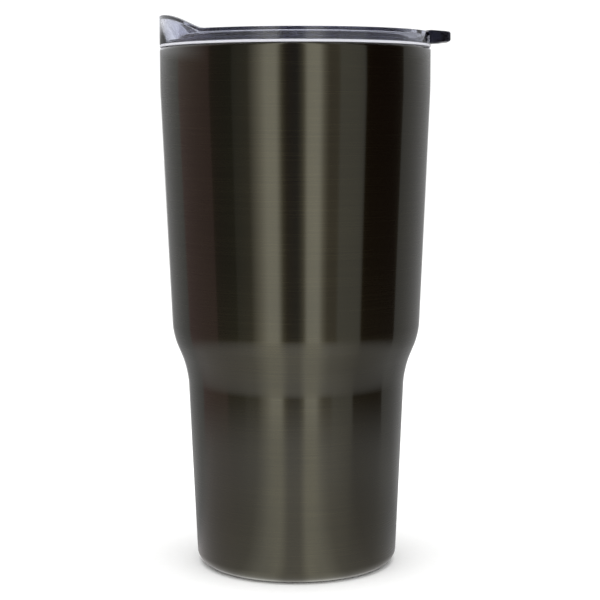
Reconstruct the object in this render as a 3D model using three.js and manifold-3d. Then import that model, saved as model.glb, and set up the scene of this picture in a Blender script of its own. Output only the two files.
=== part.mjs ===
// Insulated tumbler: a double-walled steel cup, a press-in lid with a spout and a thumb tab, and a flip-up
// closure. Millimetres, +Z up, origin at the middle of the base. The spout points to -X and the tab to +X.

import * as THREE from 'three';
import { mergeVertices } from 'three/addons/utils/BufferGeometryUtils.js';
import Module from 'manifold-3d';

const wasm = await Module();
wasm.setup();

// Cup, outside
const bodyRadius = 50; // the straight collar under the lip
const bodyHeight = 193.2; // resting plane to lip
const collarHeight = 15.2; // straight stretch under the lip
const upperTaper = 3.8; // radius lost from the collar down to the shoulder
const shoulderStep = 5.45; // radius lost across the shoulder
const lowerTaper = 3.15; // radius lost from the shoulder down to the heel
const heelInset = 3.5; // radius lost round the heel
const heelHeight = 2.4;
const lowerHeight = 73.9; // resting plane to the bottom of the shoulder
const shoulderHeight = 13.2;
const collarRound = 132;
const shoulderRound = 23;
const neckRound = 32;
const heelRound = 4.4;
const footRound = 0.8;
const lipRound = 1.2;
const footWidth = 1.5; // the ring that the cup stands on

// Cup, inside
const sheet = 0.7; // every steel sheet of the cup
const vacuumGap = 2.4; // between the outer shell and the liner
const floorHeight = 9.2; // resting plane to the underside of the liner
const floorRound = 9;
const mouthRound = 0.6;
const baseHeight = 3.4; // resting plane to the underside of the vacuum base
const baseRimHeight = 1.6;
const baseInset = 1.2; // from the outside of the foot to the rim of the vacuum base
const baseRound = 1.2;
const dimpleRadius = 6;
const dimpleHeight = 1.2;
const portRadius = 1; // hole that the air is drawn out through
const sealRadius = 2.4;
const sealHeight = 1.2;
const coverRimHeight = 1.7;
const coverRound = 1.2;
const getterRadius = 4;
const getterHeight = 1.8;
const getterOffset = 18;
const holderWall = 0.5;
const holderHeight = 1.4;

// Lid
const gasketThickness = 0.9; // flange that shows between the cup and the lid
const gasketWall = 1.5; // sleeve round the skirt of the plug
const finCount = 2;
const finPitch = 3.6;
const finHeight = 0.7;
const finReach = 1.1; // from the sleeve out towards the liner
const rimHeight = 3.85;
const rimWall = 1.4;
const rimLand = 1.3; // thickness of the rim's top
const rimRound = 0.5;
const plugWall = 1.4; // wall of the well and of the skirt below it
const wellDepth = 5.95;
const deckThickness = 1.8;
const skirtDepth = 10.2; // from the lip down into the mouth
const beadWidth = 1.2; // bead that keeps the gasket on the skirt
const beadHeight = 1.2;
const flangeThickness = 0.8;
const spoutHeight = 6.05; // above the rim
const spoutHalfWidth = 37.3; // from the middle of the spout, across to where it meets the rim
const spoutSteps = 24; // along the arch of the spout
const tabReach = 7.1; // beyond the rim
const tabRootHalf = 9.6; // half its width at the rim
const tabTipHalf = 5.8; // and at the tip
const tabRound = 3; // corners of the tab, seen from above
const tabCrown = 0.65; // how far its top stands above the rim at the root
const tabTipCrown = 0.35; // and at the tip
const tabDrop = 0.1; // how far the root of the tab hangs below the rim
const tabRise = 0.6; // from the root of its underside up to the tip
const tabEdgeRound = 0.8;
const ventRadius = 1.5;
const ventSpread = 25; // from the middle of the lid, on both sides

// Flip-up closure
const pinRadius = 1.1;
const hubRadius = 2.6; // eye of the lever and round top of each lug
const hubWidth = 14;
const lugThickness = 2.2;
const leverThickness = 2.6;
const leverFrontWidth = 21;
const leverSetback = 2.1; // from the tip of the lever to the wall of the well
const leverRound = 2.5;
const gripLength = 4;
const gripHeight = 0.9;
const slotLength = 18; // drinking slot, along Y
const slotWidth = 7.6;
const slotSetback = 3.2; // from the slot to the wall of the well
const stopperTaper = 0.9;
const stopperFlange = 1.6; // how far its flange covers the deck round the slot
const stopperFlangeThickness = 1.4;
const stopperDepth = 2.6; // below the top of the deck

const touch = 0.3; // clearance between pieces that meet
const facets = 48; // round a turned piece
const barFacets = 24; // round a thin bar
const arcStep = Math.PI / 6;
const smallestRound = 0.3;
const samePoint = 1e-3;
const spare = 5; // how far a cutter runs past what it cuts

const finish = (color, metalness, roughness, more = {}) =>
  new THREE.MeshStandardMaterial({ color, metalness, roughness, ...more });
const graphiteSteel = finish(0x4b4741, 0.9, 0.32);
const bareSteel = finish(0xb9b8b4, 1, 0.35);
const polishedSteel = finish(0xcfcfcc, 1, 0.15);
const getterAlloy = finish(0x5b5750, 0.8, 0.7);
const sealGlass = finish(0x6d6a60, 0, 0.3);
const clearPlastic = finish(0xe4e8ee, 0, 0.08, { transparent: true, opacity: 0.35 });
const smokePlastic = finish(0x2a2b36, 0, 0.15);
const darkPlastic = finish(0x14141d, 0, 0.25);
const whiteSilicone = finish(0xe0e1e4, 0, 0.5);

/** The corners [x, y, radius] of a closed loop as points, with each corner rounded to its radius. */
function rounded(corners) {
  const points = corners.flatMap(([x, y, radius = 0], i) => {
    const corner = new THREE.Vector2(x, y);
    const [fromX, fromY] = corners.at(i - 1);
    const [toX, toY] = corners[(i + 1) % corners.length];
    const back = new THREE.Vector2(fromX - x, fromY - y);
    const ahead = new THREE.Vector2(toX - x, toY - y);
    const room = Math.min(back.length(), ahead.length()) / 2;
    back.normalize();
    ahead.normalize();
    const half = Math.acos(THREE.MathUtils.clamp(back.dot(ahead), -1, 1)) / 2;
    const round = Math.min(radius, room * Math.tan(half));
    if (round < smallestRound) return [corner];
    const centre = back.clone().add(ahead).setLength(round / Math.sin(half)).add(corner);
    const spoke = back.clone().multiplyScalar(round / Math.tan(half)).add(corner).sub(centre);
    const turn = (Math.PI - 2 * half) * Math.sign(ahead.cross(back));
    const steps = Math.max(2, Math.ceil(Math.abs(turn) / arcStep));
    const origin = new THREE.Vector2();
    return Array.from({ length: steps + 1 }, (_, k) =>
      spoke.clone().rotateAround(origin, (turn * k) / steps).add(centre));
  });
  return points.filter((point, i) => point.distanceTo(points.at(i - 1)) > samePoint);
}

/** The closed loop of a bent sheet: its path's corners, then the same path one thickness to the left. */
function sheetLoop(path, thickness) {
  const heading = (i) => {
    const [x, y] = path[i];
    const [toX, toY] = path[i + 1];
    return new THREE.Vector2(toX - x, toY - y).normalize();
  };
  const inside = path.map(([x, y, radius = 0], i) => {
    const before = heading(Math.max(i - 1, 0));
    const after = heading(Math.min(i, path.length - 2));
    const normal = before.clone().add(after).normalize();
    normal.set(-normal.y, normal.x);
    const mitre = thickness / normal.dot(new THREE.Vector2(-before.y, before.x));
    const innerRadius = radius - Math.sign(before.cross(after)) * thickness;
    return [x + normal.x * mitre, y + normal.y * mitre, innerRadius];
  });
  return [...path, ...inside.reverse()];
}

/** A closed geometry as a manifold solid, with shared vertices merged and empty triangles dropped. */
function solid(geometry) {
  geometry.deleteAttribute('normal');
  geometry.deleteAttribute('uv');
  const merged = mergeVertices(geometry);
  const corners = merged.index.array;
  const triVerts = [];
  for (let i = 0; i < corners.length; i += 3) {
    const [a, b, c] = corners.subarray(i, i + 3);
    if (a !== b && b !== c && c !== a) triVerts.push(a, b, c);
  }
  const vertProperties = merged.attributes.position.array;
  const mesh = new wasm.Mesh({ numProp: 3, vertProperties, triVerts: new Uint32Array(triVerts) });
  return new wasm.Manifold(mesh);
}

/** A loop of [radius, z, round] corners, counterclockwise, turned about Z. */
function turned(corners) {
  const points = rounded(corners);
  const onAxis = points[0].x === 0;
  const profile = onAxis ? points : [...points, points[0]];
  return solid(new THREE.LatheGeometry(profile, facets).rotateX(Math.PI / 2));
}

/** A plan outline of [x, y, round] corners, raised from z = low to z = high. */
function raised(corners, low, high) {
  const shape = new THREE.Shape(rounded(corners));
  const geometry = new THREE.ExtrudeGeometry(shape, { depth: high - low, bevelEnabled: false });
  return solid(geometry.translate(0, 0, low));
}

/** A round plan outline centred on (x, 0), raised from z = low to z = high. */
function raisedDisc(x, radius, low, high) {
  const geometry = new THREE.CylinderGeometry(radius, radius, high - low, facets);
  return solid(geometry.rotateX(Math.PI / 2).translate(x, 0, (low + high) / 2));
}

/** A side outline of [x, z, round] corners, spread along Y from y = low to y = high. */
function spread(corners, low, high) {
  const shape = new THREE.Shape(rounded(corners));
  const geometry = new THREE.ExtrudeGeometry(shape, { depth: high - low, bevelEnabled: false });
  return solid(geometry.rotateX(Math.PI / 2).translate(0, high, 0));
}

/** A round bar along Y, centred on the hinge line. */
function hingeBar(radius, length) {
  return solid(new THREE.CylinderGeometry(radius, radius, length, barFacets).translate(0, 0, hingeZ));
}

const part = new THREE.Group();

function add(name, shape, material) {
  const { vertProperties, triVerts } = shape.getMesh();
  const geometry = new THREE.BufferGeometry();
  geometry.setAttribute('position', new THREE.BufferAttribute(vertProperties, 3));
  geometry.setIndex(new THREE.BufferAttribute(triVerts, 1));
  geometry.computeVertexNormals();
  const mesh = new THREE.Mesh(geometry, material);
  mesh.name = name;
  part.add(mesh);
}

// --- Cup -------------------------------------------------------------------------------------------------

const collarZ = bodyHeight - collarHeight;
const shoulderZ = lowerHeight + shoulderHeight;
const shoulderRadius = bodyRadius - upperTaper;
const neckRadius = shoulderRadius - shoulderStep;
const heelRadius = neckRadius - lowerTaper;
const footRadius = heelRadius - heelInset;
const footInner = footRadius - footWidth;
const lipJoint = bodyRadius - sheet - vacuumGap / 2; // where shell and liner are welded, on top of the lip

/** The side of the cup from the shoulder's foot up to the collar, moved in by inset. */
const side = (inset) => [
  [neckRadius - inset, lowerHeight, neckRound],
  [shoulderRadius - inset, shoulderZ, shoulderRound],
  [bodyRadius - inset, collarZ, collarRound],
];

const shellPath = [
  [footInner, 0],
  [footRadius, 0, footRound],
  [heelRadius, heelHeight, heelRound],
  ...side(0),
  [bodyRadius, bodyHeight, lipRound],
  [lipJoint, bodyHeight],
];
add('outer_shell', turned(sheetLoop(shellPath, sheet)), graphiteSteel);

const linerInset = sheet + vacuumGap; // to the liner's outside
const mouthRadius = bodyRadius - linerInset - sheet;
const linerPath = [
  [0, floorHeight],
  [heelRadius - linerInset, floorHeight, floorRound],
  ...side(linerInset),
  [bodyRadius - linerInset, bodyHeight - sheet, mouthRound],
  [lipJoint - touch, bodyHeight - sheet],
];
add('inner_liner', turned(sheetLoop(linerPath, sheet)), bareSteel);

// The vacuum base closes the shell from below. Its rim is turned down and welded to the inside of the heel.
const dimpleZ = baseHeight + dimpleHeight;
const vacuumBasePath = [
  [portRadius, dimpleZ],
  [dimpleRadius - dimpleHeight, dimpleZ],
  [dimpleRadius, baseHeight],
  [footRadius - baseInset, baseHeight, baseRound],
  [footRadius - baseInset, baseHeight - baseRimHeight],
];
add('vacuum_base', turned(sheetLoop(vacuumBasePath, sheet)), bareSteel);

const sealTop = dimpleZ - touch;
add('vacuum_seal', turned([
  [0, sealTop - sealHeight],
  [sealRadius - sealHeight / 2, sealTop - sealHeight],
  [sealRadius, sealTop - sealHeight / 2],
  [sealRadius, sealTop],
  [portRadius - touch, sealTop],
  [portRadius - touch, dimpleZ + sheet],
  [0, dimpleZ + sheet],
]), sealGlass);

const coverRadius = footInner - touch;
add('base_cover', turned(sheetLoop([
  [0, 0],
  [coverRadius, 0, coverRound],
  [coverRadius, coverRimHeight],
], sheet)), graphiteSteel);

const holderZ = baseHeight + sheet + touch;
const holderRadius = getterRadius + touch + holderWall;
const holder = turned(sheetLoop([
  [0, holderZ],
  [holderRadius, holderZ],
  [holderRadius, holderZ + holderHeight],
], holderWall));
add('getter_holder', holder.translate([getterOffset, 0, 0]), bareSteel);
const getterZ = holderZ + holderWall + touch;
add('getter', raisedDisc(getterOffset, getterRadius, getterZ, getterZ + getterHeight), getterAlloy);

// --- Lid -------------------------------------------------------------------------------------------------

const gasketZ = bodyHeight + touch;
const rimZ = gasketZ + gasketThickness + touch;
const rimTop = rimZ + rimHeight;
const deckTop = rimTop - wellDepth;
const deckBottom = deckTop - deckThickness;
const skirtZ = bodyHeight - skirtDepth;
const finTip = mouthRadius - touch;
const sleeveRadius = finTip - finReach;
const rimInner = sleeveRadius - gasketWall;
const plugRadius = rimInner - touch;
const wellRadius = plugRadius - plugWall;
const channelRadius = bodyRadius - rimWall;

const tabTip = bodyRadius + tabReach;

/** The tab's outline seen from above, from the middle of the lid out to its tip, grown by margin. */
const tabOutline = (margin) => [
  [0, -tabRootHalf - margin],
  [bodyRadius, -tabRootHalf - margin],
  [tabTip + margin, -tabTipHalf - margin, tabRound + margin],
  [tabTip + margin, tabTipHalf + margin, tabRound + margin],
  [bodyRadius, tabRootHalf + margin],
  [0, tabRootHalf + margin],
];

// Rim: a ring with a hollow underside, raised into the spout at -X.
const spoutTop = rimTop + spoutHeight;
const spoutEdge = bodyRadius - rimWall;
const spoutWedge = turned([
  [rimInner, rimTop - rimLand],
  [bodyRadius, rimTop - rimLand],
  [bodyRadius, spoutTop, rimRound],
  [spoutEdge, spoutTop, rimRound],
  [rimInner, rimTop],
]);

/** The arch of the spout seen from the front, lowered by drop, as a solid that reaches in from -X. */
function spoutFront(drop) {
  const arch = Array.from({ length: spoutSteps + 1 }, (_, k) => {
    const across = (2 * k) / spoutSteps - 1;
    const lift = spoutHeight * Math.cos((Math.PI / 2) * across * across);
    return [across * spoutHalfWidth, rimTop + lift - drop];
  });
  const outline = [[-spoutHalfWidth, rimZ - spare], [spoutHalfWidth, rimZ - spare], ...arch.reverse()];
  return spread(outline, 0, bodyRadius + spare).rotate([0, 0, 90]);
}

const spoutSlope = Math.atan2(spoutTop - rimTop, spoutEdge - rimInner);
const slopeDrop = rimLand / Math.cos(spoutSlope); // from the slope down to the underside of its wall
const spoutHollow = turned([
  [rimInner, rimTop - slopeDrop],
  [rimInner, rimZ - spare],
  [channelRadius, rimZ - spare],
  [channelRadius, spoutTop - slopeDrop],
]).intersect(spoutFront(rimLand));
const rimRing = turned([
  [channelRadius, rimZ],
  [bodyRadius, rimZ, rimRound],
  [bodyRadius, rimTop, rimRound],
  [rimInner, rimTop],
  [rimInner, rimTop - rimLand],
  [channelRadius, rimTop - rimLand],
]);
const tabNotch = raised(tabOutline(touch), rimZ - spare, rimTop + spare);
const rim = rimRing.add(spoutWedge.intersect(spoutFront(0))).subtract(spoutHollow).subtract(tabNotch);
add('lid_rim', rim, clearPlastic);

// Plug: the well, its deck, the skirt that goes into the cup, and the thumb tab, moulded in one.
const hingeZ = deckTop + touch + hubRadius;
const plugTurned = turned([
  [0, deckBottom],
  [wellRadius, deckBottom],
  [wellRadius, skirtZ],
  [plugRadius + beadWidth, skirtZ],
  [plugRadius + beadWidth, skirtZ + beadHeight],
  [plugRadius, skirtZ + beadHeight],
  [plugRadius, rimZ],
  [channelRadius - touch, rimZ],
  [channelRadius - touch, rimZ + flangeThickness],
  [plugRadius, rimZ + flangeThickness],
  [plugRadius, rimTop],
  [wellRadius, rimTop],
  [wellRadius, deckTop],
  [0, deckTop],
]);
const tabRoot = rimZ - tabDrop;
const tabSide = spread([
  [wellRadius + plugWall / 2, tabRoot],
  [bodyRadius, tabRoot],
  [tabTip, tabRoot + tabRise, tabEdgeRound],
  [tabTip, rimTop + tabTipCrown, tabEdgeRound],
  [bodyRadius, rimTop + tabCrown, tabEdgeRound],
  [plugRadius, rimTop],
  [wellRadius + plugWall / 2, rimTop],
], -tabRootHalf - spare, tabRootHalf + spare);
const overGasket = raisedDisc(0, bodyRadius + touch, rimZ - spare, rimZ);
const tab = raised(tabOutline(0), rimZ - spare, rimTop + spare).intersect(tabSide).subtract(overGasket);

const lugInner = hubWidth / 2 + touch;
const lugOutline = [
  [-hubRadius, deckTop - deckThickness / 2],
  [hubRadius, deckTop - deckThickness / 2],
  [hubRadius, hingeZ + hubRadius, hubRadius],
  [-hubRadius, hingeZ + hubRadius, hubRadius],
];
const lugs = spread(lugOutline, lugInner, lugInner + lugThickness)
  .add(spread(lugOutline, -lugInner - lugThickness, -lugInner));

const slotFront = -wellRadius + slotSetback;
const slotBack = slotFront + slotWidth;

/** The slot's rounded outline, grown on every side by margin. */
const slotOutline = (margin) => {
  const halfLength = slotLength / 2 + margin;
  const round = slotWidth / 2 + margin;
  return [
    [slotFront - margin, -halfLength, round],
    [slotBack + margin, -halfLength, round],
    [slotBack + margin, halfLength, round],
    [slotFront - margin, halfLength, round],
  ];
};
const slotCut = raised(slotOutline(0), deckBottom - spare, deckTop + spare);
const vents = [-1, 1].map((way) =>
  raisedDisc(0, ventRadius, deckBottom - spare, deckTop + spare).translate([0, way * ventSpread, 0]));
const bore = hingeBar(pinRadius + touch, 2 * (lugInner + lugThickness + spare));
const plug = [slotCut, ...vents, bore].reduce(
  (body, cut) => body.subtract(cut), plugTurned.add(tab).add(lugs));
add('lid_plug', plug, smokePlastic);

const pinLength = 2 * (lugInner + lugThickness);
add('hinge_pin', hingeBar(pinRadius, pinLength), polishedSteel);

// Gasket: a flange between cup and lid, and a sleeve with wiper fins round the skirt.
const sleeveZ = skirtZ + beadHeight + touch;
const fins = Array.from({ length: finCount }, (_, i) => {
  const low = sleeveZ + finHeight + i * finPitch;
  return [
    [sleeveRadius, low],
    [finTip, low + finReach],
    [finTip, low + finReach + finHeight],
    [sleeveRadius, low + 2 * finHeight],
  ];
}).flat();
add('lid_gasket', turned([
  [rimInner, sleeveZ],
  [sleeveRadius, sleeveZ],
  ...fins,
  [sleeveRadius, gasketZ],
  [bodyRadius, gasketZ, gasketThickness / 2],
  [bodyRadius, gasketZ + gasketThickness, gasketThickness / 2],
  [rimInner, gasketZ + gasketThickness],
]), whiteSilicone);

// --- Flip-up closure -------------------------------------------------------------------------------------

const stopperFlangeZ = deckTop + touch;
const armZ = stopperFlangeZ + stopperFlangeThickness + touch;
const armTop = armZ + leverThickness;
const leverTip = -wellRadius + leverSetback;
const arm = raised([
  [leverTip, -leverFrontWidth / 2, leverRound],
  [0, -hubWidth / 2],
  [0, hubWidth / 2],
  [leverTip, leverFrontWidth / 2, leverRound],
], armZ, armTop).intersect(raisedDisc(0, -leverTip, armZ - spare, armTop + spare));
const grip = spread([
  [leverTip, armTop - leverThickness / 2],
  [leverTip + gripLength, armTop - leverThickness / 2],
  [leverTip + gripLength, armTop],
  [leverTip + gripLength / 2, armTop + gripHeight],
  [leverTip, armTop + gripHeight],
], -hubWidth / 2, hubWidth / 2).intersect(raisedDisc(0, -leverTip, armZ - spare, armTop + spare));
const lever = arm.add(grip).add(hingeBar(hubRadius, hubWidth))
  .subtract(hingeBar(pinRadius + touch, hubWidth + spare));
add('flip_lever', lever, darkPlastic);

const stopperFootZ = deckTop - stopperDepth;
const stopperStepZ = deckTop - stopperDepth / 2;
const stopperTop = stopperFlangeZ + stopperFlangeThickness;
const stopperFoot = raised(slotOutline(-touch - stopperTaper), stopperFootZ, stopperStepZ);
const stopperBody = raised(slotOutline(-touch), stopperStepZ, stopperTop);
const stopperHead = raised(slotOutline(stopperFlange), stopperFlangeZ, stopperTop);
add('stopper', stopperHead.add(stopperBody).add(stopperFoot), whiteSilicone);

export default part;
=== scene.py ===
"""An insulated steel tumbler with a clear and smoke lid, built in the order it is put together.

Sizes are in millimetres and are turned into metres where a mesh is made.
"""

import math

import bmesh
import bpy
from mathutils import Matrix, Vector


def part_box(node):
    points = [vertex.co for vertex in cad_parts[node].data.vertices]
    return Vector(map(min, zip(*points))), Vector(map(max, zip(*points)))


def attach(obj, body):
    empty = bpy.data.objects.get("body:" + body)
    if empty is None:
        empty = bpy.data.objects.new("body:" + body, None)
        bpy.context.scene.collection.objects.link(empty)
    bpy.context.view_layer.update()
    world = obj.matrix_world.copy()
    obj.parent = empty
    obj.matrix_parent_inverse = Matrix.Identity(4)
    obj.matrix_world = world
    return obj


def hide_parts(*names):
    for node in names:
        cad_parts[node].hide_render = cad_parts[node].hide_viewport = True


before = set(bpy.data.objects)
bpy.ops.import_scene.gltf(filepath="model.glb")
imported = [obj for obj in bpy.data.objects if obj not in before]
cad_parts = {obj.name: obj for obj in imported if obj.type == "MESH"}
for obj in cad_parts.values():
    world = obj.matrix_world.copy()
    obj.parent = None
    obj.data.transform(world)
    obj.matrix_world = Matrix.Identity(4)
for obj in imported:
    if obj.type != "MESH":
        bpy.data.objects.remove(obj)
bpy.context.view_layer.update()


# Inner liner
# The cup that holds the drink: one disc of stainless steel, deep drawn, then bulged to the stepped side and
# rolled outwards at the mouth, where it is welded to the outer shell. Its inside is left bare.

MM = 0.001


def corners_of(node):
    """A CAD node's lowest and highest corners in millimetres."""
    low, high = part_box(node)
    return Vector(low) / MM, Vector(high) / MM


shell_high = corners_of("outer_shell")[1]
BODY_RADIUS = shell_high.x
BODY_HEIGHT = shell_high.z
SHEET = 0.7
LOWER_HEIGHT = 73.9
SHOULDER_HEIGHT = 13.2
COLLAR_HEIGHT = 15.2
UPPER_TAPER = 3.8
SHOULDER_STEP = 5.45
LOWER_TAPER = 3.15
SHOULDER_RADIUS = BODY_RADIUS - UPPER_TAPER
NECK_RADIUS = SHOULDER_RADIUS - SHOULDER_STEP
HEEL_RADIUS = NECK_RADIUS - LOWER_TAPER
VACUUM_GAP = 2.4
LINER_INSET = SHEET + VACUUM_GAP
LINER_FLOOR = corners_of("inner_liner")[0].z
LIP_JOINT = BODY_RADIUS - SHEET - VACUUM_GAP / 2
COLLAR_ROUND = 132
SHOULDER_ROUND = 23
NECK_ROUND = 32
FLOOR_ROUND = 9
INNER_FLOOR_ROUND = 8.4
MOUTH_ROUND = 1.1
SEAM = 0.04  # between sheets that are welded together


def wire(corners, closed=False, segments=8):
    """A wire outline of (radius, z, round) corners in the XZ plane, each corner rounded to its radius."""
    bm = bmesh.new()
    verts = [bm.verts.new((corner[0] * MM, 0, corner[1] * MM)) for corner in corners]
    for start, end in zip(verts, verts[1:]):
        bm.edges.new((start, end))
    if closed:
        bm.edges.new((verts[-1], verts[0]))
    for vert, corner in zip(verts, corners):
        if len(corner) == 3:
            one, other = [edge.other_vert(vert).co - vert.co for edge in vert.link_edges]
            offset = corner[2] * MM / math.tan(one.angle(other) / 2)
            bmesh.ops.bevel(bm, geom=[vert], offset=offset, offset_type="OFFSET", segments=segments,
                            profile=0.5, affect="VERTICES", material=-1)
    return bm


def spin(bm, steps=192):
    """Turns a wire outline about Z, merges its seam and poles, and faces it outwards."""
    bmesh.ops.spin(bm, geom=bm.verts[:] + bm.edges[:], cent=(0, 0, 0), axis=(0, 0, 1), dvec=(0, 0, 0),
                   angle=2 * math.pi, steps=steps, use_merge=True)
    bmesh.ops.remove_doubles(bm, verts=bm.verts, dist=0.001 * MM)
    bmesh.ops.recalc_face_normals(bm, faces=bm.faces)
    return bm


def object_from(bm, name, crease=32):
    """A smooth-shaded object of a bmesh, with edges sharper than the crease angle left sharp."""
    for face in bm.faces:
        face.smooth = True
    for edge in bm.edges:
        edge.smooth = edge.calc_face_angle(0) < math.radians(crease)
    mesh = bpy.data.meshes.new(name)
    bm.to_mesh(mesh)
    bm.free()
    piece = bpy.data.objects.new(name, mesh)
    bpy.context.scene.collection.objects.link(piece)
    return piece


def linear(code):
    """An sRGB hex colour as the linear RGBA that a shader takes."""
    channels = [int(code[i:i + 2], 16) / 255 for i in (1, 3, 5)]
    return [c / 12.92 if c <= 0.04045 else ((c + 0.055) / 1.055) ** 2.4 for c in channels] + [1]


def add_node(tree, kind, inputs=None, **settings):
    """A shader node with its settings, each input being a value or the socket that feeds it."""
    made = tree.nodes.new(kind)
    for name, value in settings.items():
        setattr(made, name, value)
    for name, value in (inputs or {}).items():
        if isinstance(value, bpy.types.NodeSocket):
            tree.links.new(value, made.inputs[name])
        else:
            made.inputs[name].default_value = value
    return made


def new_material(name):
    """An empty node material."""
    material = bpy.data.materials.new(name)
    material.use_nodes = True
    material.node_tree.nodes.clear()
    return material, material.node_tree


def side(inset):
    """The stepped side of the cup, from the foot of the shoulder to the collar, moved in by inset."""
    return [
        (NECK_RADIUS - inset, LOWER_HEIGHT, NECK_ROUND),
        (SHOULDER_RADIUS - inset, LOWER_HEIGHT + SHOULDER_HEIGHT, SHOULDER_ROUND),
        (BODY_RADIUS - inset, BODY_HEIGHT - COLLAR_HEIGHT, COLLAR_ROUND),
    ]


mouth = BODY_RADIUS - LINER_INSET - SHEET
liner = object_from(spin(wire([
    (0, LINER_FLOOR),
    (HEEL_RADIUS - LINER_INSET, LINER_FLOOR, FLOOR_ROUND),
    *side(LINER_INSET),
    (BODY_RADIUS - LINER_INSET, BODY_HEIGHT - SHEET, 0.5),
    (LIP_JOINT - SEAM, BODY_HEIGHT - SHEET),
    (LIP_JOINT - SEAM, BODY_HEIGHT, 0.1),
    (mouth, BODY_HEIGHT, MOUTH_ROUND),
    *reversed(side(LINER_INSET + SHEET)),
    (HEEL_RADIUS - LINER_INSET - SHEET, LINER_FLOOR + SHEET, INNER_FLOOR_ROUND),
    (0, LINER_FLOOR + SHEET),
])), "drawn_liner")

# Bare AISI 304 stainless steel, drawn and then spun bright: a warm grey metal whose fine turning marks run
# round the cup and pull each highlight out along its height.
bare_steel, tree = new_material("spun_stainless_304")
coords = add_node(tree, "ShaderNodeTexCoord")
around = add_node(tree, "ShaderNodeVectorMath", {0: (0, 0, 1), 1: coords.outputs["Object"]},
                  operation="CROSS_PRODUCT")
# Turning marks are about 0.1 mm apart; they are drawn at 0.5 mm, the finest that shows.
marks = add_node(tree, "ShaderNodeMapping", {"Vector": coords.outputs["Object"], "Scale": (12, 12, 2000)})
turning = add_node(tree, "ShaderNodeTexNoise", {"Vector": marks.outputs["Vector"], "Scale": 1, "Detail": 3})
turning_rough = add_node(tree, "ShaderNodeMapRange", {
    "Value": turning.outputs["Fac"], "From Min": 0.3, "From Max": 0.7, "To Min": 0.22, "To Max": 0.34})
turning_bump = add_node(tree, "ShaderNodeBump", {
    "Height": turning.outputs["Fac"], "Strength": 0.15, "Distance": 0.02 * MM})
bare_shader = add_node(tree, "ShaderNodeBsdfPrincipled", {
    "Base Color": linear("#c9c7c2"), "Metallic": 1, "Roughness": turning_rough.outputs["Result"],
    "Anisotropic": 0.7, "Anisotropic Rotation": 0.25, "Tangent": around.outputs["Vector"],
    "Normal": turning_bump.outputs["Normal"]})
add_node(tree, "ShaderNodeOutputMaterial", {"Surface": bare_shader.outputs["BSDF"]})

liner.data.materials.append(bare_steel)
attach(liner, "cup")
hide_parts("inner_liner")


# Outer shell
# The side that shows: a stainless tube bulged to the same stepped shape, curled in at the foot and at the
# lip. It is brushed on a lathe, so the grain runs round it, and dipped in a dark, clear lacquer.

HEEL_HEIGHT = 2.4
HEEL_INSET = 3.5
FOOT_RADIUS = HEEL_RADIUS - HEEL_INSET
FOOT_WIDTH = 1.5
HEEL_ROUND = 4.4
INNER_HEEL_ROUND = 3.7
FOOT_ROUND = 0.8
LIP_ROUND = 1.2

shell = object_from(spin(wire([
    (FOOT_RADIUS - FOOT_WIDTH, 0, 0.25),
    (FOOT_RADIUS, 0, FOOT_ROUND),
    (HEEL_RADIUS, HEEL_HEIGHT, HEEL_ROUND),
    *side(0),
    (BODY_RADIUS, BODY_HEIGHT, LIP_ROUND),
    (LIP_JOINT, BODY_HEIGHT, 0.1),
    (LIP_JOINT, BODY_HEIGHT - SHEET),
    (BODY_RADIUS - SHEET, BODY_HEIGHT - SHEET, 0.5),
    *reversed(side(SHEET)),
    (HEEL_RADIUS - SHEET, HEEL_HEIGHT + 0.4, INNER_HEEL_ROUND),
    (FOOT_RADIUS - 0.2, SHEET),
    (FOOT_RADIUS - FOOT_WIDTH, SHEET),
], closed=True), steps=256), "brushed_shell")

# Brushed stainless under a graphite-tinted clear lacquer. The metal spreads each light into a tall soft band,
# because its grain runs round the cup, and the lacquer adds a second, mirror-sharp reflection on top.
graphite_steel, tree = new_material("graphite_lacquered_brushed_steel")
coords = add_node(tree, "ShaderNodeTexCoord")
around = add_node(tree, "ShaderNodeVectorMath", {0: (0, 0, 1), 1: coords.outputs["Object"]},
                  operation="CROSS_PRODUCT")
# Brush lines from a 180-grit belt are about 0.1 mm apart and 30 mm long; they are drawn at 0.4 mm to show.
lines = add_node(tree, "ShaderNodeMapping", {"Vector": coords.outputs["Object"], "Scale": (33, 33, 2500)})
brushed = add_node(tree, "ShaderNodeTexNoise", {
    "Vector": lines.outputs["Vector"], "Scale": 1, "Detail": 3, "Roughness": 0.5})
# Slow change in the lacquer's thickness, over about 40 mm.
pooled = add_node(tree, "ShaderNodeTexNoise", {"Vector": coords.outputs["Object"], "Scale": 25, "Detail": 2})
depth = add_node(tree, "ShaderNodeMath", {0: brushed.outputs["Fac"], 1: pooled.outputs["Fac"]},
                 operation="MULTIPLY")
tint = add_node(tree, "ShaderNodeMapRange", {
    "Value": depth.outputs["Value"], "From Min": 0.1, "From Max": 0.4, "To Min": 0, "To Max": 1})
metal_colour = add_node(tree, "ShaderNodeMix", {
    "Factor": tint.outputs["Result"], "A": linear("#3a372a"), "B": linear("#464232")}, data_type="RGBA")
brushed_rough = add_node(tree, "ShaderNodeMapRange", {
    "Value": brushed.outputs["Fac"], "From Min": 0.3, "From Max": 0.7, "To Min": 0.24, "To Max": 0.28})
brushed_bump = add_node(tree, "ShaderNodeBump", {
    "Height": brushed.outputs["Fac"], "Strength": 0.04, "Distance": 0.01 * MM})
graphite_shader = add_node(tree, "ShaderNodeBsdfPrincipled", {
    "Base Color": metal_colour.outputs["Result"], "Metallic": 1,
    "Roughness": brushed_rough.outputs["Result"], "Anisotropic": 1.0, "Anisotropic Rotation": 0.25,
    "Tangent": around.outputs["Vector"], "Normal": brushed_bump.outputs["Normal"],
    "Coat Weight": 1.0, "Coat IOR": 1.5, "Coat Roughness": 0.03})
add_node(tree, "ShaderNodeOutputMaterial", {"Surface": graphite_shader.outputs["BSDF"]})

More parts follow.
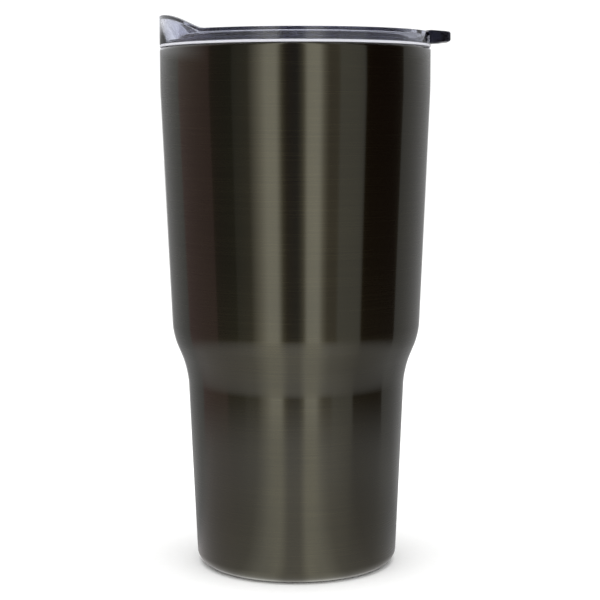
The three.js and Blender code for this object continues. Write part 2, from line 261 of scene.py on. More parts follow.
shell.data.materials.append(graphite_steel)
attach(shell, "cup")
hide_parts("outer_shell")


# Vacuum base, its seal and the getter
# Pressed discs and a sintered pill inside the double wall: the base closes the shell, the bead of solder
# glass closes the port, and the pill takes up the last gas. They never show, so their CAD solids stay.

sealed_steel, tree = new_material("pressed_stainless_sheet")
coords = add_node(tree, "ShaderNodeTexCoord")
# Rolling marks of cold-rolled sheet, about 2 mm long.
rolled = add_node(tree, "ShaderNodeMapping", {"Vector": coords.outputs["Object"], "Scale": (500, 4000, 500)})
rolling = add_node(tree, "ShaderNodeTexNoise", {"Vector": rolled.outputs["Vector"], "Scale": 1})
rolling_rough = add_node(tree, "ShaderNodeMapRange", {
    "Value": rolling.outputs["Fac"], "To Min": 0.25, "To Max": 0.45})
sealed_shader = add_node(tree, "ShaderNodeBsdfPrincipled", {
    "Base Color": linear("#b5b3ae"), "Metallic": 1, "Roughness": rolling_rough.outputs["Result"]})
add_node(tree, "ShaderNodeOutputMaterial", {"Surface": sealed_shader.outputs["BSDF"]})

# Zirconium alloy powder, pressed and sintered: matt, dark and granular at about 0.2 mm.
getter_powder, tree = new_material("sintered_zirconium_alloy")
coords = add_node(tree, "ShaderNodeTexCoord")
grains = add_node(tree, "ShaderNodeTexVoronoi", {"Vector": coords.outputs["Object"], "Scale": 5000})
grain_colour = add_node(tree, "ShaderNodeMix", {
    "Factor": grains.outputs["Distance"], "A": linear("#4a4640"), "B": linear("#6b655c")}, data_type="RGBA")
powder_shader = add_node(tree, "ShaderNodeBsdfPrincipled", {
    "Base Color": grain_colour.outputs["Result"], "Metallic": 0.8, "Roughness": 0.7})
add_node(tree, "ShaderNodeOutputMaterial", {"Surface": powder_shader.outputs["BSDF"]})

# Solder glass, melted in place: glossy, opaque grey-brown, with small bubbles about 0.4 mm across.
solder_glass, tree = new_material("melted_solder_glass")
coords = add_node(tree, "ShaderNodeTexCoord")
bubbles = add_node(tree, "ShaderNodeTexVoronoi", {"Vector": coords.outputs["Object"], "Scale": 2500})
glass_colour = add_node(tree, "ShaderNodeMix", {
    "Factor": bubbles.outputs["Distance"], "A": linear("#77736a"), "B": linear("#5d594f")}, data_type="RGBA")
glass_shader = add_node(tree, "ShaderNodeBsdfPrincipled", {
    "Base Color": glass_colour.outputs["Result"], "Roughness": 0.15, "IOR": 1.6})
add_node(tree, "ShaderNodeOutputMaterial", {"Surface": glass_shader.outputs["BSDF"]})

for node, material in (("vacuum_base", sealed_steel), ("getter_holder", sealed_steel),
                       ("getter", getter_powder), ("vacuum_seal", solder_glass)):
    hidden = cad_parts[node]
    hidden.data.materials.clear()
    hidden.data.materials.append(material)


# Base cover
# A shallow steel pan with a flat floor, pressed into the foot ring to hide the vacuum base. It is brushed and
# dipped together with the shell, and the tumbler stands on it and on the ring.

cover_high = corners_of("base_cover")[1]
cover = object_from(spin(wire([
    (0, 0),
    (cover_high.x, 0, 0.9),
    (cover_high.x, cover_high.z, 0.2),
    (cover_high.x - SHEET, cover_high.z, 0.2),
    (cover_high.x - SHEET, SHEET, 0.4),
    (0, SHEET),
])), "base_pan")
cover.data.materials.append(graphite_steel)
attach(cover, "cup")
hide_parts("base_cover")


# Lid plug
# The working half of the lid: one injection moulding in smoke-tinted SAN that makes the well, its deck with
# the drinking slot and two vents, the hinge lugs, the skirt that goes into the mouth, and the thumb tab.

plug_low, plug_high = corners_of("lid_plug")
TAB_CROWN = 0.65
TAB_TIP_CROWN = 0.35
LID_TOP = plug_high.z - TAB_CROWN
TAB_TIP = plug_high.x
TAB_ROOT_HALF = 9.6
TAB_TIP_HALF = 5.8
SKIRT_BOTTOM = plug_low.z
PLUG_RADIUS = 43.0
WELL_RADIUS = 41.6
BEAD_WIDTH = 1.2
BEAD_HEIGHT = 1.2
FLANGE_RADIUS = 48.3
FLANGE_THICKNESS = 0.8
WELL_DEPTH = 5.95
DECK_THICKNESS = 1.8
RIM_HEIGHT = 3.85
TAB_RISE = 0.6
TAB_DROP = 0.1
TAB_ROUND = 3
TAB_EDGE_ROUND = 0.8
CLEARANCE = 0.3
DECK_TOP = LID_TOP - WELL_DEPTH
DECK_BOTTOM = DECK_TOP - DECK_THICKNESS
RIM_BOTTOM = LID_TOP - RIM_HEIGHT
TAB_ROOT = RIM_BOTTOM - TAB_DROP
HUB_RADIUS = 2.6
HINGE_HEIGHT = DECK_TOP + CLEARANCE + HUB_RADIUS
PIN_RADIUS = 1.1
HUB_WIDTH = 14
LUG_THICKNESS = 2.2
SLOT_SETBACK = 3.2
SLOT_FRONT = -WELL_RADIUS + SLOT_SETBACK
SLOT_WIDTH = 7.6
SLOT_LENGTH = 18
VENT_RADIUS = 1.5
VENT_SPREAD = 25
PAST = 5  # how far a cutter runs past what it cuts
ROUND_SPARE = 0.05  # what a full round leaves of the flat between its two arcs
SHARP = math.radians(60)  # edges to bevel are sharper than this


def rounded_block(low, high, round_edges, radius, segments=6):
    """A box from low to high, with the edges that round_edges picks rounded to the radius."""
    bm = bmesh.new()
    low, high = Vector(low) * MM, Vector(high) * MM
    size = high - low
    place = Matrix.Translation((low + high) / 2) @ Matrix.Diagonal((*size, 1))
    bmesh.ops.create_cube(bm, size=1, matrix=place)
    edges = [edge for edge in bm.edges if round_edges(edge)]
    bmesh.ops.bevel(bm, geom=edges, offset=radius * MM, offset_type="OFFSET", segments=segments, profile=0.5,
                    affect="EDGES", clamp_overlap=True, material=-1)
    bmesh.ops.remove_doubles(bm, verts=bm.verts, dist=0.001 * MM)
    return bm


def bar(radius, length, place, segments=64):
    """A round bar, its axis along Z until place turns it."""
    bm = bmesh.new()
    bmesh.ops.create_cone(bm, cap_ends=True, segments=segments, radius1=radius * MM, radius2=radius * MM,
                          depth=length * MM, matrix=place)
    return bm


def upright(edge):
    return abs(edge.verts[0].co.z - edge.verts[1].co.z) > 0.5 * MM


def at(x, y, z):
    return Matrix.Translation(Vector((x, y, z)) * MM)


ALONG_Y = Matrix.Rotation(math.pi / 2, 4, "X")


def combine(piece, bm, operation):
    """Joins a bmesh to a piece, or cuts it out of the piece, for good."""
    tool = object_from(bm, "tool")
    modifier = piece.modifiers.new("combine", "BOOLEAN")
    modifier.operation = operation
    modifier.object = tool
    modifier.solver = "EXACT"
    done = bpy.data.meshes.new_from_object(piece.evaluated_get(bpy.context.evaluated_depsgraph_get()))
    piece.modifiers.clear()
    piece.data = done
    bpy.data.objects.remove(tool)


def reshade(piece, crease=32, merge=0.004):
    """Merges the slivers that a cut leaves and sets the sharp edges again."""
    bm = bmesh.new()
    bm.from_mesh(piece.data)
    bmesh.ops.remove_doubles(bm, verts=bm.verts, dist=merge * MM)
    bmesh.ops.dissolve_degenerate(bm, edges=bm.edges, dist=merge * MM)
    for face in bm.faces:
        face.smooth = True
    for edge in bm.edges:
        edge.smooth = edge.calc_face_angle(0) < math.radians(crease)
    bm.to_mesh(piece.data)
    bm.free()


plug = object_from(spin(wire([
    (0, DECK_BOTTOM),
    (WELL_RADIUS, DECK_BOTTOM, 0.4),
    (WELL_RADIUS, SKIRT_BOTTOM, 0.3),
    (PLUG_RADIUS + BEAD_WIDTH, SKIRT_BOTTOM, 0.5),
    (PLUG_RADIUS + BEAD_WIDTH, SKIRT_BOTTOM + BEAD_HEIGHT, 0.3),
    (PLUG_RADIUS, SKIRT_BOTTOM + BEAD_HEIGHT),
    (PLUG_RADIUS, RIM_BOTTOM),
    (FLANGE_RADIUS, RIM_BOTTOM, 0.2),
    (FLANGE_RADIUS, RIM_BOTTOM + FLANGE_THICKNESS, 0.2),
    (PLUG_RADIUS, RIM_BOTTOM + FLANGE_THICKNESS, 0.3),
    (PLUG_RADIUS, LID_TOP, 0.3),
    (WELL_RADIUS, LID_TOP, 0.4),
    (WELL_RADIUS, DECK_TOP, 1.2),
    (0, DECK_TOP),
], segments=4)), "smoke_plug")

tab_start = (PLUG_RADIUS + WELL_RADIUS) / 2
tab_bm = rounded_block((tab_start, -TAB_ROOT_HALF, TAB_ROOT), (TAB_TIP, TAB_ROOT_HALF, LID_TOP),
                       lambda edge: upright(edge) and edge.verts[0].co.x > BODY_RADIUS * MM,
                       TAB_ROUND, segments=10)
for station in (PLUG_RADIUS, BODY_RADIUS):
    bmesh.ops.bisect_plane(tab_bm, geom=tab_bm.verts[:] + tab_bm.edges[:] + tab_bm.faces[:],
                           plane_co=(station * MM, 0, 0), plane_no=(1, 0, 0))
middle = (TAB_ROOT + LID_TOP) / 2 * MM
for vert in tab_bm.verts:
    reach = max(0, (vert.co.x / MM - BODY_RADIUS) / (TAB_TIP - BODY_RADIUS))
    inward = max(0, (BODY_RADIUS - vert.co.x / MM) / (BODY_RADIUS - PLUG_RADIUS))
    if vert.co.z < middle:
        vert.co.z += TAB_RISE * MM * reach
    elif inward < 1:
        vert.co.z += (TAB_CROWN * (1 - inward) + (TAB_TIP_CROWN - TAB_CROWN) * reach) * MM
    vert.co.y *= 1 + (TAB_TIP_HALF / TAB_ROOT_HALF - 1) * reach
rims = [edge for edge in tab_bm.edges if edge.calc_face_angle(0) > SHARP and not upright(edge)
        and max(vert.co.x for vert in edge.verts) > BODY_RADIUS * MM]
bmesh.ops.bevel(tab_bm, geom=rims, offset=TAB_EDGE_ROUND * MM, offset_type="OFFSET", segments=5,
                profile=0.5, affect="EDGES", clamp_overlap=True, material=-1)
tab = object_from(tab_bm, "tab")
TAB_OVERHANG = 0.25
over_gasket = bar(BODY_RADIUS + TAB_OVERHANG, PAST, at(0, 0, RIM_BOTTOM - PAST / 2), segments=256)
combine(tab, over_gasket, "DIFFERENCE")
tab_bm = bmesh.new()
tab_bm.from_mesh(tab.data)
bpy.data.objects.remove(tab)
combine(plug, tab_bm, "UNION")

lug_inner = HUB_WIDTH / 2 + CLEARANCE
for way in (-1, 1):
    near, far = sorted((way * lug_inner, way * (lug_inner + LUG_THICKNESS)))
    lug = rounded_block((-HUB_RADIUS, near, DECK_TOP - DECK_THICKNESS / 2),
                        (HUB_RADIUS, far, HINGE_HEIGHT + HUB_RADIUS),
                        lambda edge: not upright(edge) and min(v.co.z for v in edge.verts) > HINGE_HEIGHT * MM
                        and abs(edge.verts[0].co.y - edge.verts[1].co.y) > MM,
                        HUB_RADIUS - ROUND_SPARE, segments=10)
    combine(plug, lug, "UNION")
    combine(plug, bar(VENT_RADIUS, 4 * PAST, at(0, way * VENT_SPREAD, DECK_TOP)), "DIFFERENCE")
combine(plug, rounded_block(
    (SLOT_FRONT, -SLOT_LENGTH / 2, DECK_BOTTOM - PAST),
    (SLOT_FRONT + SLOT_WIDTH, SLOT_LENGTH / 2, DECK_TOP + PAST),
    upright, SLOT_WIDTH / 2 - ROUND_SPARE, segments=12), "DIFFERENCE")
PIN_HOLE_SPARE = 0.05
combine(plug, bar(PIN_RADIUS + PIN_HOLE_SPARE, 4 * HUB_WIDTH, at(0, 0, HINGE_HEIGHT) @ ALONG_Y), "DIFFERENCE")
reshade(plug)

# Smoke-tinted SAN, moulded against polished steel: a thin wall is grey and see-through and a thick section is
# navy-black, because the dye is in the plastic. Only a faint waviness, some 8 mm long, is left in the gloss.
smoke_plastic, tree = new_material("smoke_tinted_san")
coords = add_node(tree, "ShaderNodeTexCoord")
flow = add_node(tree, "ShaderNodeTexNoise", {"Vector": coords.outputs["Object"], "Scale": 120, "Detail": 1})
flow_rough = add_node(tree, "ShaderNodeMapRange", {
    "Value": flow.outputs["Fac"], "To Min": 0.04, "To Max": 0.1})
flow_bump = add_node(tree, "ShaderNodeBump", {
    "Height": flow.outputs["Fac"], "Strength": 0.1, "Distance": 0.02 * MM})
smoke_shader = add_node(tree, "ShaderNodeBsdfPrincipled", {
    "Base Color": linear("#bbbcd8"), "Roughness": flow_rough.outputs["Result"], "IOR": 1.57,
    "Specular IOR Level": 0.3, "Specular Tint": linear("#a4a8dc"), "Transmission Weight": 0.985,
    "Normal": flow_bump.outputs["Normal"]})
smoke_dye = add_node(tree, "ShaderNodeVolumeAbsorption", {"Color": linear("#000c46"), "Density": 700})
add_node(tree, "ShaderNodeOutputMaterial", {
    "Surface": smoke_shader.outputs["BSDF"], "Volume": smoke_dye.outputs["Volume"]})

plug.data.materials.clear()
plug.data.materials.append(smoke_plastic)
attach(plug, "lid")
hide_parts("lid_plug")


# Lid rim
# The clear half of the lid: a moulded SAN ring, hollow underneath, that rises into the spout opposite the
# tab. It is welded to the plug's flange, and its outside lines up with the steel of the cup.

rim_high = corners_of("lid_rim")[1]
SPOUT_HEIGHT = rim_high.z - LID_TOP
SPOUT_HALF_WIDTH = 37.3
SEAT_DEPTH = 0.55
RIM_SEAT = RIM_BOTTOM - SEAT_DEPTH
RIM_WALL = 1.4
RIM_LAND = 1.3
RIM_INNER = PLUG_RADIUS + 0.12
NOTCH_SPARE = 0.15
RIM_STEPS = 360

rim_bm = spin(wire([
    (BODY_RADIUS - RIM_WALL, RIM_SEAT, 0.15),
    (BODY_RADIUS, RIM_SEAT, 0.25),
    (BODY_RADIUS, LID_TOP, 0.3),
    (BODY_RADIUS - RIM_WALL, LID_TOP, 0.3),
    (RIM_INNER, LID_TOP, 0.2),
    (RIM_INNER, LID_TOP - RIM_LAND, 0.2),
    (BODY_RADIUS - RIM_WALL, LID_TOP - RIM_LAND, 0.15),
], closed=True, segments=6), steps=RIM_STEPS)
raised_from = LID_TOP - RIM_LAND - 0.8
for vert in rim_bm.verts:
    radius = math.hypot(vert.co.x, vert.co.y) / MM
    across = abs(vert.co.y) / MM * BODY_RADIUS / radius
    if vert.co.x < 0 and vert.co.z / MM > raised_from and radius > RIM_INNER + 1:
        share = min(across / SPOUT_HALF_WIDTH, 1)
        vert.co.z += SPOUT_HEIGHT * MM * math.cos(math.pi / 2 * share ** 2)
rim = object_from(rim_bm, "clear_rim")
combine(rim, rounded_block((0, -TAB_ROOT_HALF - NOTCH_SPARE, RIM_BOTTOM - PAST),
                           (TAB_TIP, TAB_ROOT_HALF + NOTCH_SPARE, LID_TOP + PAST),
                           upright, 0.2), "DIFFERENCE")
reshade(rim)

# Clear SAN, the styrene plastic of drink lids, moulded against polished steel: glossy, with a cold cast that
# deepens to slate where the light has a long way to go through it.
clear_plastic, tree = new_material("clear_san")
coords = add_node(tree, "ShaderNodeTexCoord")
ripple = add_node(tree, "ShaderNodeTexNoise", {"Vector": coords.outputs["Object"], "Scale": 90, "Detail": 1})
ripple_bump = add_node(tree, "ShaderNodeBump", {
    "Height": ripple.outputs["Fac"], "Strength": 0.1, "Distance": 0.02 * MM})
clear_shader = add_node(tree, "ShaderNodeBsdfPrincipled", {
    "Base Color": linear("#e9ebf4"), "Roughness": 0.03, "IOR": 1.57, "Transmission Weight": 1.0,
    "Normal": ripple_bump.outputs["Normal"]})
cold_cast = add_node(tree, "ShaderNodeVolumeAbsorption", {"Color": linear("#656c8c"), "Density": 55})
add_node(tree, "ShaderNodeOutputMaterial", {
    "Surface": clear_shader.outputs["BSDF"], "Volume": cold_cast.outputs["Volume"]})

rim.data.materials.clear()
rim.data.materials.append(clear_plastic)
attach(rim, "lid")
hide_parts("lid_rim")


# Lid gasket
# One silicone moulding, stretched over the skirt: a flat flange that shows as the white line between cup and
# lid, and a sleeve with two thin fins that wipe against the liner.

gasket_low = corners_of("lid_gasket")[0]
FLANGE_BOTTOM = BODY_HEIGHT + 0.02
FLANGE_TOP = RIM_SEAT - 0.04
SLEEVE_RADIUS = 44.8
FIN_RADIUS = 45.9

FIN_START = 0.7
FIN_PITCH = 3.6
FIN_SLOPE = 1.1
FIN_THICKNESS = 0.5

fins = []
for fin in range(2):
    start = gasket_low.z + FIN_START + FIN_PITCH * fin
    fins += [
        (SLEEVE_RADIUS, start, 0.3),
        (FIN_RADIUS, start + FIN_SLOPE, 0.2),
        (FIN_RADIUS, start + FIN_SLOPE + FIN_THICKNESS, 0.2),
        (SLEEVE_RADIUS, start + 1.5, 0.3),
    ]
gasket = object_from(spin(wire([
    (PLUG_RADIUS + 0.1, gasket_low.z, 0.3),
    (SLEEVE_RADIUS, gasket_low.z, 0.3),
    *fins,
    (SLEEVE_RADIUS, FLANGE_BOTTOM, 0.4),
    (BODY_RADIUS, FLANGE_BOTTOM, 0.3),
    (BODY_RADIUS, FLANGE_TOP, 0.3),
    (PLUG_RADIUS + 0.1, FLANGE_TOP, 0.2),
], closed=True, segments=4)), "silicone_gasket")

# Food-grade silicone, liquid-moulded and uncoloured: milky, soft in gloss, with light glowing in its edge.
white_silicone, tree = new_material("milky_silicone")
coords = add_node(tree, "ShaderNodeTexCoord")
# A sandblasted mould leaves a grain of about 0.3 mm.
blasted = add_node(tree, "ShaderNodeTexNoise", {
    "Vector": coords.outputs["Object"], "Scale": 3300, "Detail": 2})
milk = add_node(tree, "ShaderNodeMix", {
    "Factor": blasted.outputs["Fac"], "A": linear("#c3c3ca"), "B": linear("#cecfd5")}, data_type="RGBA")
blasted_bump = add_node(tree, "ShaderNodeBump", {
    "Height": blasted.outputs["Fac"], "Strength": 0.2, "Distance": 0.03 * MM})
silicone_shader = add_node(tree, "ShaderNodeBsdfPrincipled", {
    "Base Color": milk.outputs["Result"], "Roughness": 0.45, "IOR": 1.41, "Subsurface Weight": 0.6,
    "Subsurface Radius": (1.0, 1.0, 1.0), "Subsurface Scale": 1.5 * MM,
    "Normal": blasted_bump.outputs["Normal"]})
add_node(tree, "ShaderNodeOutputMaterial", {"Surface": silicone_shader.outputs["BSDF"]})

gasket.data.materials.append(white_silicone)
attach(gasket, "lid")
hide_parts("lid_gasket")


# Hinge pin
# A length of ground stainless wire with chamfered ends, pushed through both lugs and the eye of the lever.

pin_low, pin_high = corners_of("hinge_pin")
pin_bm = bar(PIN_RADIUS, pin_high.y - pin_low.y, at(0, 0, HINGE_HEIGHT) @ ALONG_Y, segments=48)
ends = [edge for edge in pin_bm.edges if edge.calc_face_angle(0) > SHARP]
bmesh.ops.bevel(pin_bm, geom=ends, offset=0.25 * MM, offset_type="OFFSET", segments=3, profile=0.5,
                affect="EDGES", material=-1)
pin = object_from(pin_bm, "steel_pin")

# Centreless-ground stainless wire: bright, with grinding marks that run round it about 0.3 mm apart.
ground_steel, tree = new_material("ground_stainless_wire")
coords = add_node(tree, "ShaderNodeTexCoord")
ground = add_node(tree, "ShaderNodeMapping", {"Vector": coords.outputs["Object"], "Scale": (100, 3300, 100)})
grinding = add_node(tree, "ShaderNodeTexNoise", {"Vector": ground.outputs["Vector"], "Scale": 1})
grinding_rough = add_node(tree, "ShaderNodeMapRange", {
    "Value": grinding.outputs["Fac"], "To Min": 0.1, "To Max": 0.25})
ground_shader = add_node(tree, "ShaderNodeBsdfPrincipled", {
    "Base Color": linear("#d4d2cd"), "Metallic": 1, "Roughness": grinding_rough.outputs["Result"]})
add_node(tree, "ShaderNodeOutputMaterial", {"Surface": ground_shader.outputs["BSDF"]})

pin.data.materials.append(ground_steel)
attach(pin, "lid")
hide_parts("hinge_pin")


# Flip lever
# Moulded dark ABS: an arm that widens towards the spout, with an eye that the pin goes through and a ridge
# at the tip for a fingertip. It lies on the deck when shut and swings over towards the tab to open.

lever_low, lever_high = corners_of("flip_lever")
ARM_GAP = 2.0
ARM_THICKNESS = 2.6
ARM_BOTTOM = DECK_TOP + ARM_GAP
ARM_TOP = ARM_BOTTOM + ARM_THICKNESS
ARM_ROUND = 3.2
ARM_EDGE_ROUND = 0.5
HUB_EDGE_ROUND = 0.3
RIDGE_SETBACK = 1.2
RIDGE_LENGTH = 2.2
RIDGE_ROUND = 0.8
EYE_SPARE = 0.08
LEVER_WIDTH = lever_high.y - lever_low.y

arm_bm = rounded_block((lever_low.x, -LEVER_WIDTH / 2, ARM_BOTTOM), (0, LEVER_WIDTH / 2, ARM_TOP),
                       lambda edge: upright(edge) and edge.verts[0].co.x < -MM, ARM_ROUND)
for vert in arm_bm.verts:
    reach = vert.co.x / MM / lever_low.x
    vert.co.y *= (HUB_WIDTH + (LEVER_WIDTH - HUB_WIDTH) * reach) / LEVER_WIDTH
soft = [edge for edge in arm_bm.edges if edge.calc_face_angle(0) > SHARP and not upright(edge)]
bmesh.ops.bevel(arm_bm, geom=soft, offset=ARM_EDGE_ROUND * MM, offset_type="OFFSET", segments=4,
                profile=0.5, affect="EDGES", clamp_overlap=True, material=-1)
lever = object_from(arm_bm, "closure_lever")
hub_bm = bar(HUB_RADIUS, HUB_WIDTH, at(0, 0, HINGE_HEIGHT) @ ALONG_Y, segments=96)
hub_ends = [edge for edge in hub_bm.edges if edge.calc_face_angle(0) > SHARP]
bmesh.ops.bevel(hub_bm, geom=hub_ends, offset=HUB_EDGE_ROUND * MM, offset_type="OFFSET", segments=3,
                profile=0.5, affect="EDGES", material=-1)
combine(lever, hub_bm, "UNION")
ridge_front = lever_low.x + RIDGE_SETBACK
ridge_bm = rounded_block((ridge_front, -HUB_WIDTH / 2, ARM_TOP - 1),
                         (ridge_front + RIDGE_LENGTH, HUB_WIDTH / 2, lever_high.z),
                         lambda edge: min(v.co.z for v in edge.verts) > ARM_TOP * MM, RIDGE_ROUND)
combine(lever, ridge_bm, "UNION")
combine(lever, bar(PIN_RADIUS + EYE_SPARE, 2 * HUB_WIDTH, at(0, 0, HINGE_HEIGHT) @ ALONG_Y), "DIFFERENCE")
reshade(lever)

# Navy-black ABS with a fine spark-eroded mould grain of about 0.4 mm: even, slightly soft gloss.
dark_plastic, tree = new_material("navy_black_abs")
coords = add_node(tree, "ShaderNodeTexCoord")
eroded = add_node(tree, "ShaderNodeTexNoise", {
    "Vector": coords.outputs["Object"], "Scale": 2500, "Detail": 2})
eroded_colour = add_node(tree, "ShaderNodeMix", {
    "Factor": eroded.outputs["Fac"], "A": linear("#12121c"), "B": linear("#1b1b28")}, data_type="RGBA")
eroded_rough = add_node(tree, "ShaderNodeMapRange", {
    "Value": eroded.outputs["Fac"], "To Min": 0.25, "To Max": 0.4})
eroded_bump = add_node(tree, "ShaderNodeBump", {
    "Height": eroded.outputs["Fac"], "Strength": 0.2, "Distance": 0.02 * MM})
dark_shader = add_node(tree, "ShaderNodeBsdfPrincipled", {
    "Base Color": eroded_colour.outputs["Result"], "Roughness": eroded_rough.outputs["Result"], "IOR": 1.53,
    "Normal": eroded_bump.outputs["Normal"]})
add_node(tree, "ShaderNodeOutputMaterial", {"Surface": dark_shader.outputs["BSDF"]})

lever.data.materials.clear()
lever.data.materials.append(dark_plastic)
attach(lever, "closure")
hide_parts("flip_lever")


# Stopper
# A silicone pad snapped under the tip of the lever: its flange covers the deck round the drinking slot and
# its tapered plug fills the slot.

stopper_low, stopper_high = corners_of("stopper")
SLOT_GAP = 0.25
TAPER_ACROSS = 0.76
TAPER_ALONG = 0.9
pad_bm = rounded_block((stopper_low.x, stopper_low.y, DECK_TOP + 0.1),
                       (stopper_high.x, stopper_high.y, ARM_BOTTOM + 0.02),
                       upright, (stopper_high.x - stopper_low.x) / 2 - ROUND_SPARE, segments=12)
stopper = object_from(pad_bm, "silicone_stopper")
foot_bm = rounded_block((SLOT_FRONT + SLOT_GAP, -SLOT_LENGTH / 2 + SLOT_GAP, stopper_low.z),
                        (SLOT_FRONT + SLOT_WIDTH - SLOT_GAP, SLOT_LENGTH / 2 - SLOT_GAP, DECK_TOP + 0.6),
                        upright, SLOT_WIDTH / 2 - SLOT_GAP - ROUND_SPARE, segments=12)
slot_middle = (SLOT_FRONT + SLOT_WIDTH / 2) * MM
for vert in foot_bm.verts:
    if vert.co.z < (DECK_TOP - 1) * MM:
        vert.co.x = slot_middle + (vert.co.x - slot_middle) * TAPER_ACROSS
        vert.co.y *= TAPER_ALONG
combine(stopper, foot_bm, "UNION")
reshade(stopper)
stopper.data.materials.clear()
stopper.data.materials.append(white_silicone)
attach(stopper, "closure")
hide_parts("stopper")


# Studio
# A pale table under soft light, and a ring of cards round the cup that only reflections see: two tall
# softboxes in front of it with soft edges, dark cards beside them, and light grey ones behind.

# The room's sizes are in metres. A blend goes from one set of bands to the next between its two distances.
FOOT_HOLE = 0.03
TABLE_RADIUS = 0.17
ROOM_RADIUS = 0.43
ROOM_HEIGHT = 1.1
TABLE_HALF = 6
ABOVE_TABLE = 0.0004
FOOT_BLEND = (0.08, 0.16)
TABLE_BLEND = (TABLE_RADIUS, 0.3)
LID_BLEND = (math.hypot(ROOM_RADIUS, 0.21), math.hypot(ROOM_RADIUS, 0.23))
BRIGHTEST = 1.7

# Degrees right of the camera, and the light of the cards there: on the table by the foot and further out,
# round the room up to the height of the lid, and above it. The cards on the table stand for the lit table in
# reflections; those by the foot are dimmer, which is painted shade where the cup shades the table.
SHADED_BY_FOOT = (
    (-180, (0.25, 0.25, 0.25)), (-118, (0.25, 0.25, 0.25)), (-100, (0.4, 0.38, 0.38)),
    (-60, (0.52, 0.5, 0.49)), (-40, (0.62, 0.61, 0.59)), (-25, (1.1, 1.1, 1.05)), (-14, (1.15, 1.15, 1.1)),
    (-7, (0.8, 0.79, 0.77)),
    (3, (0.8, 0.79, 0.77)), (9, (1.2, 1.2, 1.15)), (20, (1.15, 1.15, 1.1)), (32, (0.7, 0.69, 0.67)),
    (60, (0.42, 0.41, 0.4)), (100, (0.3, 0.3, 0.3)), (118, (0.24, 0.24, 0.24)),
)
ON_TABLE = (
    (-180, (0.3, 0.3, 0.3)), (-118, (0.3, 0.3, 0.3)), (-100, (0.5, 0.48, 0.48)), (-60, (0.66, 0.64, 0.63)),
    (-40, (0.8, 0.79, 0.77)), (-25, (1.2, 1.2, 1.15)), (-14, (1.2, 1.2, 1.15)), (-7, (0.92, 0.91, 0.89)),
    (3, (0.92, 0.91, 0.89)), (9, (1.25, 1.25, 1.2)), (20, (1.25, 1.25, 1.2)), (32, (0.9, 0.89, 0.87)),
    (60, (0.54, 0.53, 0.52)), (100, (0.42, 0.42, 0.42)), (118, (0.3, 0.3, 0.3)),
)
ROUND_CUP = (
    (-180, (0.26, 0.26, 0.26)), (-175, (0.26, 0.26, 0.26)), (-171, (0.5, 0.5, 0.5)), (-158, (0.5, 0.5, 0.5)),
    (-154, (0.25, 0.25, 0.25)), (-110.5, (0.26, 0.26, 0.26)), (-110, (0.25, 0.17, 0.17)),
    (-72.5, (0.26, 0.18, 0.18)), (-72, (0.12, 0.1, 0.09)), (-52, (0.12, 0.12, 0.1)),
    (-51.5, (0.2, 0.2, 0.18)),
    (-38, (0.26, 0.25, 0.22)), (-29, (1.0, 0.98, 0.9)), (-23, (1.6, 1.6, 1.5)), (-15, (1.6, 1.6, 1.5)),
    (-10.5, (0.3, 0.28, 0.24)), (-7, (0.12, 0.1, 0.1)), (2, (0.1, 0.1, 0.12)), (6.5, (0.4, 0.38, 0.34)),
    (10, (1.55, 1.55, 1.45)), (19, (1.65, 1.65, 1.55)), (23, (0.75, 0.72, 0.65)), (27, (0.34, 0.31, 0.27)),
    (35, (0.34, 0.31, 0.27)), (35.5, (0.5, 0.5, 0.48)), (57.5, (0.46, 0.46, 0.44)), (58, (0.05, 0.03, 0.02)),
    (97, (0.04, 0.025, 0.02)), (97.5, (0.27, 0.27, 0.27)), (156, (0.27, 0.27, 0.27)), (162, (0.5, 0.5, 0.5)),
    (175, (0.26, 0.26, 0.26)),
)
ABOVE_LID = tuple(
    (degrees, (0.85, 0.86, 0.9) if abs(degrees) > 100 else light) for degrees, light in ROUND_CUP)
CEILING = ((-180, (0.35, 0.35, 0.35)), (180, (0.35, 0.35, 0.35)))


def bands(tree, place, stops):
    """The light of the cards by the angle round the cup."""
    apart = add_node(tree, "ShaderNodeSeparateXYZ", {0: place})
    front = add_node(tree, "ShaderNodeMath", {0: apart.outputs["Y"], 1: -1}, operation="MULTIPLY")
    angle = add_node(tree, "ShaderNodeMath", {0: apart.outputs["X"], 1: front.outputs["Value"]},
                     operation="ARCTAN2")
    turn = add_node(tree, "ShaderNodeMapRange", {
        "Value": angle.outputs["Value"], "From Min": -math.pi, "From Max": math.pi})
    ramp = add_node(tree, "ShaderNodeValToRGB", {"Fac": turn.outputs["Result"]})
    spots = ramp.color_ramp.elements
    for (degrees, light), spot in zip(stops, [*spots, *(spots.new(1) for _ in stops[2:])]):
        spot.position = degrees / 360 + 0.5
        spot.color = [channel / BRIGHTEST for channel in light] + [1]
    return ramp.outputs["Color"]


def cards(name, outline, near, far, blend):
    """Cards whose outline of (radius, height) is turned about the cup.

    Their light goes from the near bands to the far ones over the blend's distances from the foot.
    """
    bm = bmesh.new()
    verts = [bm.verts.new((radius, 0, height)) for radius, height in outline]
    for one, other in zip(verts, verts[1:]):
        bm.edges.new((one, other))
    ring = object_from(spin(bm, steps=96), name)
    material, tree = new_material(name + "_cloth")
    place = add_node(tree, "ShaderNodeTexCoord").outputs["Object"]
    away = add_node(tree, "ShaderNodeVectorMath", {0: place}, operation="LENGTH")
    share = add_node(tree, "ShaderNodeMapRange", {
        "Value": away.outputs["Value"], "From Min": blend[0], "From Max": blend[1]},
        interpolation_type="SMOOTHSTEP")
    light = add_node(tree, "ShaderNodeMix", {
        "Factor": share.outputs["Result"], "A": bands(tree, place, near), "B": bands(tree, place, far)},
        data_type="RGBA")
    lamp = add_node(tree, "ShaderNodeEmission", {"Color": light.outputs["Result"], "Strength": BRIGHTEST})
    add_node(tree, "ShaderNodeOutputMaterial", {"Surface": lamp.outputs["Emission"]})
    ring.data.materials.append(material)
    ring.visible_camera = False
    ring.visible_diffuse = False
    ring.visible_transmission = False
    ring.visible_shadow = False
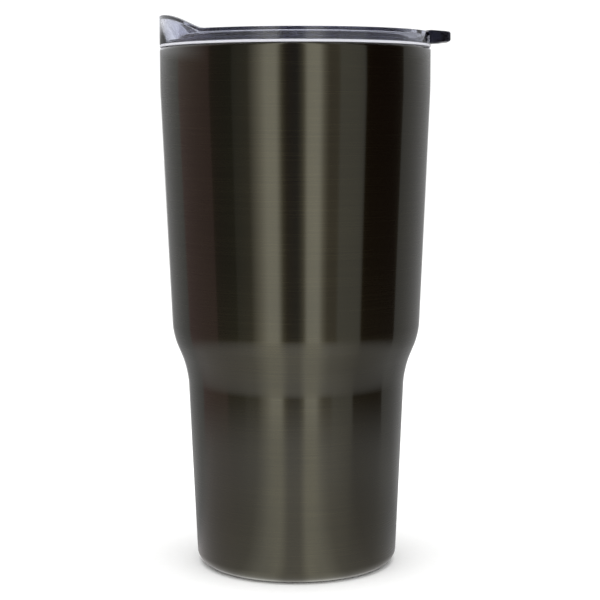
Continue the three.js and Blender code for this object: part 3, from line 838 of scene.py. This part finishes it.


# Painted shade: the near cards are dimmer by the foot, where the cup shades the table.
cards("near_cards", [(FOOT_HOLE, ABOVE_TABLE), (TABLE_RADIUS, ABOVE_TABLE)], SHADED_BY_FOOT, ON_TABLE, FOOT_BLEND)
cards("table_cards", [(TABLE_RADIUS, ABOVE_TABLE), (ROOM_RADIUS, ABOVE_TABLE)], ON_TABLE, ROUND_CUP,
      TABLE_BLEND)
cards("upright_cards", [(ROOM_RADIUS, ABOVE_TABLE), (ROOM_RADIUS, ROOM_HEIGHT)], ROUND_CUP, ABOVE_LID,
      LID_BLEND)
cards("ceiling_card", [(0, ROOM_HEIGHT), (ROOM_RADIUS, ROOM_HEIGHT)], CEILING, CEILING, LID_BLEND)

# The table: matt white board, with a faint fibre of a few millimetres.
table_bm = bmesh.new()
bmesh.ops.create_grid(table_bm, x_segments=1, y_segments=1, size=TABLE_HALF)
table = object_from(table_bm, "table")
table_paint, tree = new_material("matt_white_board")
coords = add_node(tree, "ShaderNodeTexCoord")
fibre = add_node(tree, "ShaderNodeTexNoise", {"Vector": coords.outputs["Object"], "Scale": 400, "Detail": 2})
board = add_node(tree, "ShaderNodeMix", {
    "Factor": fibre.outputs["Fac"], "A": linear("#f4f4f3"), "B": linear("#f8f8f8")}, data_type="RGBA")
board_shader = add_node(tree, "ShaderNodeBsdfPrincipled", {
    "Base Color": board.outputs["Result"], "Roughness": 0.9, "Specular IOR Level": 0.1})
add_node(tree, "ShaderNodeOutputMaterial", {"Surface": board_shader.outputs["BSDF"]})
table.data.materials.append(table_paint)

world = bpy.data.worlds.new("studio_air")
bpy.context.scene.world = world
world.use_nodes = True
world.node_tree.nodes["Background"].inputs["Color"].default_value = linear("#ffffff")
world.node_tree.nodes["Background"].inputs["Strength"].default_value = 1.12

lamp = bpy.data.lights.new("overhead", "AREA")
lamp.shape = "RECTANGLE"
lamp.size = 1.6
lamp.size_y = 1.2
lamp.energy = 14
overhead = bpy.data.objects.new("overhead", lamp)
overhead.location = (0, -0.2, 1.6)
overhead.visible_camera = False
overhead.visible_glossy = False
bpy.context.scene.collection.objects.link(overhead)


# Camera
# Level with the upper part of the cup and a little to its right, tipped down to its middle.

CAMERA_DISTANCE = 606.1
CAMERA_HEIGHT = 167.1
CAMERA_RIGHT = 1.7
CAMERA_TIP = 6.38
CAMERA_ROLL = 0.14

lens = bpy.data.cameras.new("camera")
lens.sensor_width = 36
lens.lens = 97.2
lens.clip_start = 0.01
camera = bpy.data.objects.new("camera", lens)
camera.location = Vector((CAMERA_RIGHT, -CAMERA_DISTANCE, CAMERA_HEIGHT)) * MM
camera.rotation_euler = (math.radians(90 - CAMERA_TIP), math.radians(CAMERA_ROLL), 0)
bpy.context.scene.collection.objects.link(camera)
bpy.context.scene.camera = camera
bpy.context.scene.view_settings.view_transform = "Standard"
